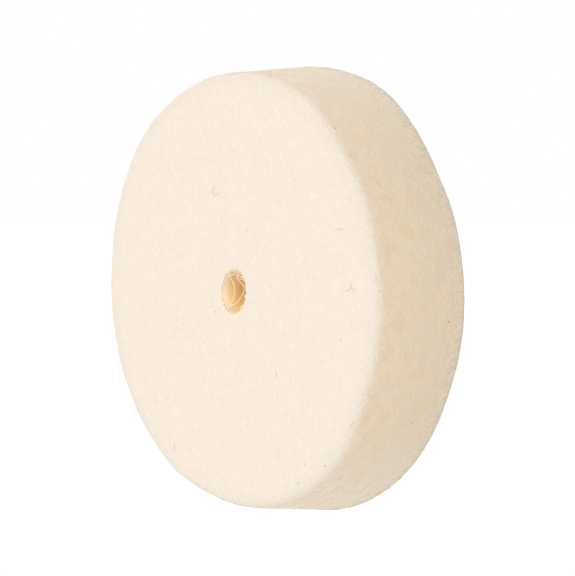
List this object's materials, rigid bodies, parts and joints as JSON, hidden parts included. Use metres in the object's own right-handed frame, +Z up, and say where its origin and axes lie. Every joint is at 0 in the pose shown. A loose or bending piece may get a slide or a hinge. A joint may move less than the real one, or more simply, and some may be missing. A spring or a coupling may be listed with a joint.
{
  "type": "felt polishing wheel",
  "caption": "Thick disc of pressed wool felt with a small central bore, a polishing wheel that screws onto a rotary-tool mandrel.",
  "frame": {"origin": "centre of the wheel: on the bore's axis, half-way between the two faces", "axes": "+Y along the bore's axis, from the narrower front face to the wider back face; +Z up as the wheel stands on its rim"},
  "size_m": [0.0258, 0.006, 0.0258],
  "materials": {
    "wool_felt": "undyed cream wool, matted and fuzzy"
  },
  "bodies": {
    "root": {"felt_wheel": "wool_felt"}
  },
  "joints": []
}
